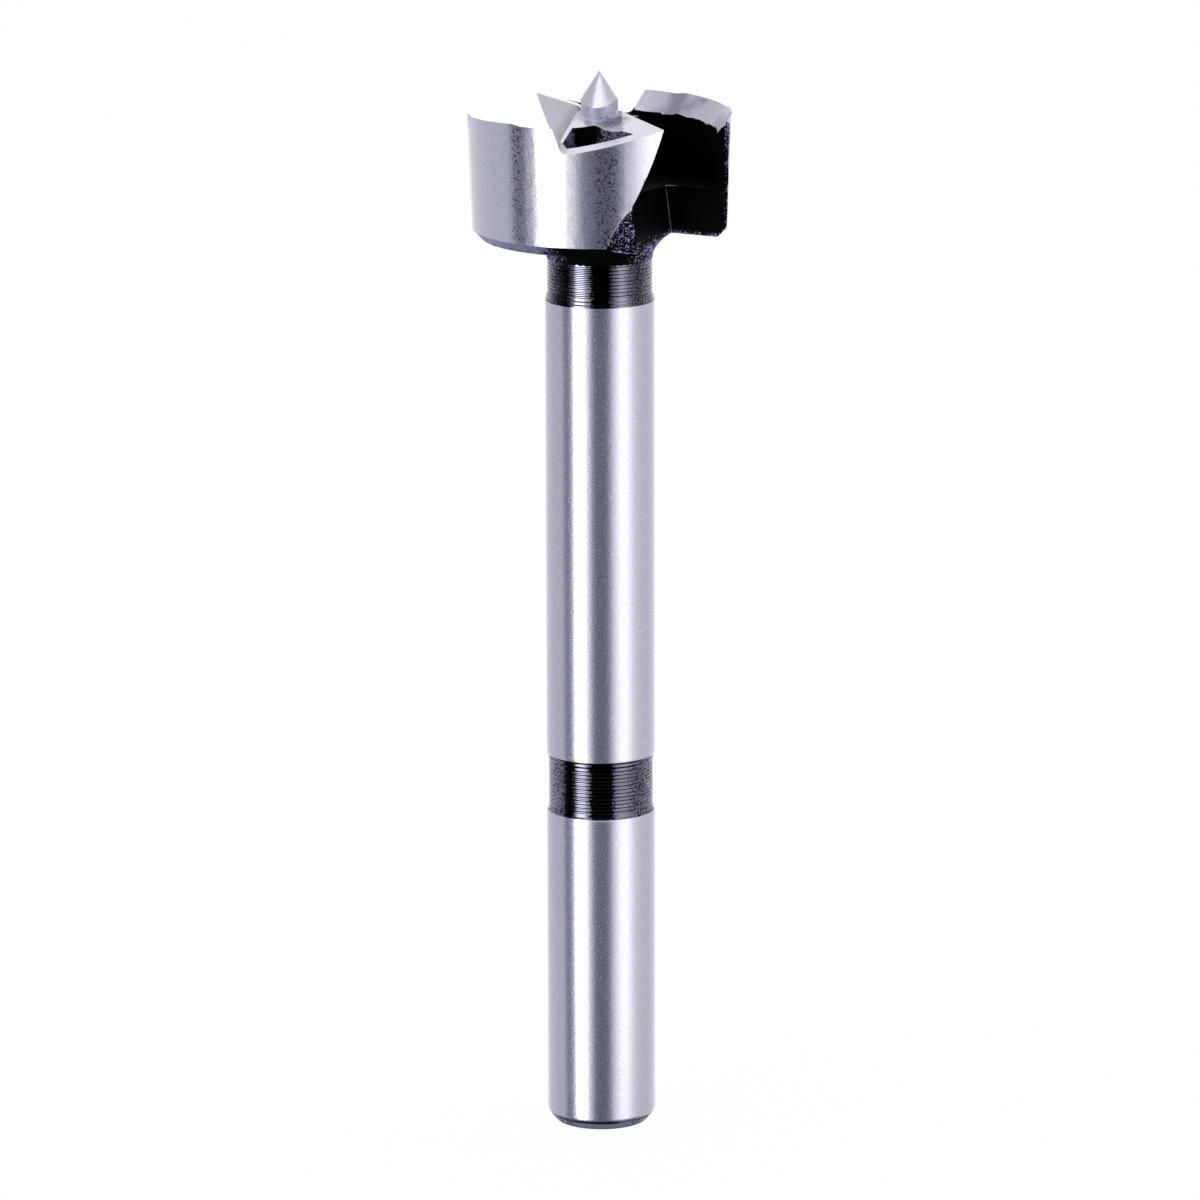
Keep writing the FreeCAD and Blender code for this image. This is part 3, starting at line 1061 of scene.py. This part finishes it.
    def wear_of(self, centre: Vector, normal: Vector) -> float:
        """Find how worn the oxide of a face is.

        Args:
            centre: The face's middle, in mm.
            normal: Its normal.

        Returns:
            0 for unworn to 1 for bare.
        """
        radius = radius_of(centre)
        depth = self.lip_height - centre.z
        if centre.z < self.head_bottom + self.slack:
            # Underside: more bare specks towards the sides seen from the front, partly wear and partly a
            # painted sheen.
            return 0.04 + 1.5 * min(1.0, max(0.0, abs(centre.x) / SHANK_RADIUS - 0.5))
        for p, n in self.both_sides(centre, normal):
            azimuth = azimuth_of(p)
            if self.on_chamfer(centre, normal) and self.rim_trail_deg < azimuth < 0:
                return 1.3 * min(1.0, max(0.0, (self.bare_chamfer_deg - azimuth) / 12.0))
            if n.x > 0.9 and n.z < -0.1 and radius > 10.0 and depth > 5.0:
                return 0.38
            if n.x > 0.4 and n.y > 0.5 and n.z > 0.2:
                return 0.95 * max(0.0, 1.0 - depth / 4.5)
            if n.y < -0.8 and 0.2 < n.z < 0.5 and p.x > 4.4:
                return 0.6 * max(0.0, 1.0 - depth / 5.0)
            if n.y > 0.6 and n.x < -0.4 and radius > 11.4:
                return 0.6 if depth < self.worn_depth else 0.2
        return 0.0

    def _cut(self, work: bmesh.types.BMesh, axis: Vector, place: float,
             keep_above: bool = False) -> list[bmesh.types.BMEdge]:
        """Cut the mesh along a plane.

        Args:
            work: The mesh, in metres.
            axis: The plane's normal.
            place: How far along the normal the plane lies, in mm.
            keep_above: Whether only what lies beyond the plane stays.

        Returns:
            The edges on the plane.
        """
        everything = work.verts[:] + work.edges[:] + work.faces[:]
        cut = bmesh.ops.bisect_plane(
            work, geom=everything, dist=1e-8, plane_co=axis * place * MM, plane_no=axis,
            clear_inner=keep_above,
        )
        return [e for e in cut["geom_cut"] if isinstance(e, bmesh.types.BMEdge)]

    def _slice(self, work: bmesh.types.BMesh) -> None:
        """Cut the mesh into small cells along planes of the three axes.

        Args:
            work: The mesh, in metres.
        """
        reach = self.head_radius
        spans = (
            (Vector((1, 0, 0)), -reach, reach),
            (Vector((0, 1, 0)), -reach, reach),
            (Vector((0, 0, 1)), self.split_height, self.tip_height),
        )
        for axis, low, high in spans:
            count = int((high - low) / self.cell)
            for i in range(1, count):
                self._cut(work, axis, low + (i + self.cell_shift) * (high - low) / count)

    def _round(self, work: bmesh.types.BMesh) -> None:
        """Put points that are meant to lie on round surfaces exactly on them.

        Args:
            work: The mesh, in metres.
        """
        steep = math.tan(math.radians(self.point_half_angle_deg))
        for vert in work.verts:
            p = vert.co / MM
            radius = radius_of(p)
            if radius < 1e-6:
                continue
            goals = []
            if p.z > self.head_bottom + self.head_chamfer - 0.01:
                goals.append(self.outer_radius(p.z))
            if p.z > self.lip_height - self.hollow_depth + 0.01:
                goals.append(self.hollow_radius)
            if p.z > self.lip_height + self.point_foot and radius < self.point_reach:
                goals.append((self.tip_height - p.z) * steep)
            for goal in goals:
                if abs(radius - goal) < self.snap:
                    vert.co.x *= goal / radius
                    vert.co.y *= goal / radius
                    break

    def _mark_wear(self, mesh: bpy.types.Mesh) -> None:
        """Write at each point how worn and stained the surface is, how bright its edge lines are (rubbed,
        with one painted highlight), and how far painted shade and darker bands darken it.

        Args:
            mesh: The mesh, in metres.
        """
        work = bmesh.new()
        work.from_mesh(mesh)
        layers = [work.verts.layers.float.new(name) for name in ("wear", "edge", "stain", "painted_shade_and_band")]
        wear, line, stain, painted_shade_and_band = layers
        worn = {f.index: self.wear_of(f.calc_center_median() / MM, f.normal) for f in work.faces}
        oxide = {f.index for f in work.faces if f.material_index == Zone.DARK_OXIDE}
        for vert in work.verts:
            shares = [worn[f.index] for f in vert.link_faces if f.index in oxide]
            vert[wear] = sum(shares) / len(shares) if shares else 0.0
            vert[stain] = self.stain_of(vert.co / MM, vert.normal)
            vert[painted_shade_and_band] = self.painted_shade_and_band_of(vert.co / MM, vert.normal)
        for edge in work.edges:
            rub_and_highlight = self._rub_and_highlight_of(edge) if len(edge.link_faces) == 2 else 0.0
            for vert in edge.verts:
                vert[line] = max(vert[line], rub_and_highlight)
        work.to_mesh(mesh)
        work.free()

    def _rub_and_highlight_of(self, edge: bmesh.types.BMEdge) -> float:
        """Find how bright an edge line is: rubbed bare edges, and a painted highlight along one concave
        corner.

        Args:
            edge: The edge, with a face on either side.

        Returns:
            0 for not at all, and about 1 for bare along its whole length.
        """
        angle = edge.calc_face_angle_signed(0.0)
        if abs(angle) < math.radians(20.0):
            return 0.0
        ends = [vert.co for vert in edge.verts]
        middle = (ends[0] + ends[1]) / (2 * MM)
        steepness = abs((ends[0] - ends[1]).normalized().z)
        radius = radius_of(middle)
        height = middle.z - self.head_bottom
        for p, _ in self.both_sides(middle, Vector((0, 0, 1))):
            azimuth = azimuth_of(p)
            if angle > 0 and radius > self.trail_radius and abs(azimuth - self.rim_trail_deg) < 9:
                return 0.95
            # The concave corner line is a painted highlight, standing in for a small fillet's reflection.
            in_corner = self.corner_radius[0] < radius < self.corner_radius[1]
            if in_corner and 0 < height and middle.z < self.corner_top and 70 < azimuth < 90:
                return 1.1
            on_foot = 0.05 < height < 1.2 and radius > 9.5 and -17 < azimuth < -4
            if angle > 0 and on_foot and steepness < 0.4:
                return 0.84
        return 0.0

    def _settle_rim(self, work: bmesh.types.BMesh) -> None:
        """Grind the front rim as the photograph shows it, with its trailing end lower.

        Args:
            work: The mesh, in metres.
        """
        low = self.lip_height - self.grind_depth
        azimuths, rises = zip(*self.grind_rises)
        for vert in work.verts:
            p = vert.co / MM
            turn = math.atan2(p.y, p.x)
            depth = self.lip_height - p.z
            on_foot = abs(depth - self.rim_foot_depth) < 0.5
            if abs(radius_of(p) - self.hollow_radius) < 0.02 and on_foot:
                if self.smooth_rim_deg[0] < math.degrees(turn) % 180 < self.smooth_rim_deg[1]:
                    continue
                rough = sum(part * math.sin(waves * turn + shift)
                            for waves, shift, part in self.rough_waves)
                size = self.rough_sizes[0 if math.cos(2 * turn - 0.5) > 0 else 1]
                vert.co.z += size * rough * MM
            if p.z < low or radius_of(p) < self.grind_radius:
                continue
            share = min(1.0, (p.z - low) / self.grind_fade)
            rise = float(np.interp(math.degrees(turn) % 360, azimuths, rises))
            vert.co.z += rise * share * MM

    def build(self, finishes: dict[Zone, bpy.types.Material]) -> bpy.types.Object:
        """Build the head from a copy of the CAD node.

        Args:
            finishes: Material of each zone.

        Returns:
            The head's object.
        """
        work = bmesh.new()
        work.from_mesh(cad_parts[self.node].data)
        bmesh.ops.remove_doubles(work, verts=work.verts, dist=1e-7)
        rim = self._cut(work, Vector((0, 0, 1)), self.split_height, keep_above=True)
        bmesh.ops.contextual_create(work, geom=rim)
        self._slice(work)
        bmesh.ops.dissolve_degenerate(work, dist=1e-6, edges=work.edges)
        self._round(work)
        work.normal_update()
        for face in work.faces:
            corners = [vert.co / MM for vert in face.verts]
            face.material_index = self.zone_of(face.calc_center_median() / MM, face.normal, corners)
        self._settle_rim(work)
        mesh = bake(work, "cutting_head", [finishes[zone] for zone in Zone])
        self._mark_wear(mesh)
        shade_smooth(mesh, self.sharp_deg)
        return put_in_scene("cutting_head", mesh)


@dataclass
class Studio:
    """Pale floor, soft surround, one soft lamp and the camera of the photograph."""

    camera_back: float = 672.99
    camera_height: float = 205.12
    camera_pitch_deg: float = 13.018
    camera_roll_deg: float = -0.143
    focal_pixels: float = 7512.0
    frame_pixels: float = 1200.0
    centre_x: float = 600.5045
    sensor: float = 36.0
    brightest: float = 5.2
    high_start: tuple[float, float] = (0.42, 0.50)
    dark_start: tuple[float, float] = (-0.52, -0.78)
    lamp_place: Triple = (-0.7, -0.5, 1.3)
    lamp_side: float = 0.9
    lamp_power: float = 3.0
    floor_radius: float = 3.0
    floor_glow: float = 0.965
    floor_drop: float = 0.00005
    low_ring: Levels = (
        (-180, 1.25), (-166, 1.12), (-155, 0.88), (-132, 0.72), (-110, 0.62), (-92, 0.64), (-86, 0.56),
        (-80, 0.09), (-71, 0.10), (-65, 0.36), (-59, 0.9), (-53, 5.0), (-39, 5.0),
        (-32, 1.85), (-24, 1.05), (-16, 0.18), (-9, 0.02), (13, 0.02), (20, 0.31), (26, 0.88),
        (34, 1.45), (44, 2.15), (57, 2.20), (68, 1.55), (80, 1.0),
        (98, 0.80), (120, 0.74), (145, 0.90), (166, 1.12), (180, 1.25),
    )
    high_ring: Levels = (
        (-180, 1.25), (-166, 1.12), (-155, 0.88), (-132, 0.75), (-100, 0.70), (-60, 0.80), (-47, 0.85),
        (-38, 1.9), (20, 1.9), (55, 1.3), (85, 0.95), (120, 0.80), (145, 0.90), (166, 1.12), (180, 1.25),
    )
    fill_ring: Levels = (
        (-180, 1.25), (-100, 1.1), (-60, 0.65), (0, 0.52), (60, 0.70), (100, 1.15), (180, 1.25),
    )

    def _ring(self, tree: Tree, turn: Value, ring: Levels, tint: float = 0.3) -> bpy.types.NodeSocket:
        """Brightness of the surround by direction round the object.

        Args:
            tree: The world's tree.
            turn: Direction as a share of the full turn.
            ring: Pairs of direction in degrees and brightness.
            tint: How much bluer its dark parts are.

        Returns:
            The colour, as a share of the brightest.
        """
        stops = []
        for angle, level in ring:
            share = level / self.brightest
            blue = share * (1.0 + tint * max(0.0, 1.0 - level))
            stops.append(((angle + 180) / 360, (share, share, blue)))
        return tree.ramp(turn, stops)

    def surround(self) -> None:
        """Make the world: white to the camera, a soft light and dark ring to gloss."""
        world = bpy.data.worlds.new("studio")
        bpy.context.scene.world = world
        world.use_nodes = True
        tree = Tree(world.node_tree)
        way = tree.add("ShaderNodeTexCoord").outputs["Generated"]
        parts = tree.add("ShaderNodeSeparateXYZ", {}, {0: way})
        x, y, z = (Value(tree, parts.outputs[i]) for i in range(3))
        turn = tree.maths("ARCTAN2", x, y * -1.0) * (1 / (2 * math.pi)) + 0.5
        low = self._ring(tree, turn, self.low_ring)
        high = self._ring(tree, turn, self.high_ring)
        ring = tree.mix(z.rise(*self.high_start), low, high)
        ring = tree.mix(z.rise(*self.dark_start), ring, (0.004, 0.004, 0.006))
        path = tree.add("ShaderNodeLightPath")
        gloss = tree.maths(
            "MAXIMUM", Value(tree, path.outputs["Is Glossy Ray"]),
            Value(tree, path.outputs["Is Transmission Ray"]),
        )
        seen = Value(tree, path.outputs["Is Camera Ray"])
        around = self._ring(tree, turn, self.fill_ring, tint=2.0)
        fill = tree.add("ShaderNodeBackground", {}, {"Color": around, "Strength": self.brightest})
        sides = tree.add("ShaderNodeBackground", {}, {"Color": ring, "Strength": self.brightest})
        white = tree.add("ShaderNodeBackground", {}, {"Color": (1, 1, 1, 1), "Strength": 1.0})
        shaders = tree.blend(seen, tree.blend(gloss, fill, sides), white)
        tree.add("ShaderNodeOutputWorld", {}, {0: shaders.outputs[0]})

    def floor(self) -> None:
        """Make the pale floor."""
        material, tree = new_material("pale_floor")
        cloud = tree.noise(Surface(tree).flat, 0.004, 2.0)
        shade = tree.mix(cloud, (0.88, 0.88, 0.89), (0.92, 0.92, 0.93))
        paper = tree.add("ShaderNodeBsdfPrincipled", {}, {"Base Color": shade, "Roughness": 0.8})
        glow = tree.add("ShaderNodeEmission", {}, {"Color": (1, 1, 1, 1), "Strength": 1.0})
        path = tree.add("ShaderNodeLightPath")
        seen = Value(tree, path.outputs["Is Camera Ray"]) * self.floor_glow
        tree.add("ShaderNodeOutputMaterial", {}, {0: tree.blend(seen, paper, glow).outputs[0]})
        work = bmesh.new()
        bmesh.ops.create_circle(work, cap_ends=True, segments=96, radius=self.floor_radius)
        ground = put_in_scene("floor", bake(work, "floor", [material]))
        ground.location.z = -self.floor_drop
        ground.visible_glossy = False

    def lamp(self) -> None:
        """Make the soft lamp that gives the floor its shadow."""
        light = bpy.data.lights.new("soft_lamp", "AREA")
        light.shape = "SQUARE"
        light.size = self.lamp_side
        light.energy = self.lamp_power
        lamp = bpy.data.objects.new("soft_lamp", light)
        lamp.location = self.lamp_place
        lamp.rotation_euler = (Vector((0, 0, 0.05)) - lamp.location).to_track_quat("-Z", "Y").to_euler()
        lamp.visible_glossy = False
        bpy.context.scene.collection.objects.link(lamp)

    def camera(self) -> None:
        """Make the camera of the photograph."""
        data = bpy.data.cameras.new("photo_camera")
        data.sensor_width = self.sensor
        data.lens = self.focal_pixels / self.frame_pixels * self.sensor
        data.shift_x = -(self.centre_x - self.frame_pixels / 2) / self.frame_pixels
        data.clip_start, data.clip_end = 0.05, 20.0
        camera = bpy.data.objects.new("photo_camera", data)
        pitch = math.radians(90 - self.camera_pitch_deg)
        look = Matrix.Rotation(pitch, 4, "X") @ Matrix.Rotation(math.radians(self.camera_roll_deg), 4, "Z")
        place = Matrix.Translation(Vector((0, -self.camera_back, self.camera_height)) * MM)
        camera.matrix_world = place @ look
        bpy.context.scene.collection.objects.link(camera)
        bpy.context.scene.camera = camera

    def build(self) -> None:
        """Make everything of the studio."""
        self.surround()
        self.floor()
        self.lamp()
        self.camera()
        bpy.context.scene.view_settings.view_transform = "Standard"


def main() -> None:
    """Build the bit and its studio."""
    logging.basicConfig(level=logging.INFO, format="%(message)s")
    finishes = {zone: finish.build() for zone, finish in FINISHES.items()}
    for part in (Shank(), CuttingHead()):
        piece = part.build(finishes)
        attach(piece, "root")
        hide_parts("bit")
        LOG.info("%s: %d faces", piece.name, len(piece.data.polygons))
    Studio().build()


if __name__ == "__main__":
    main()
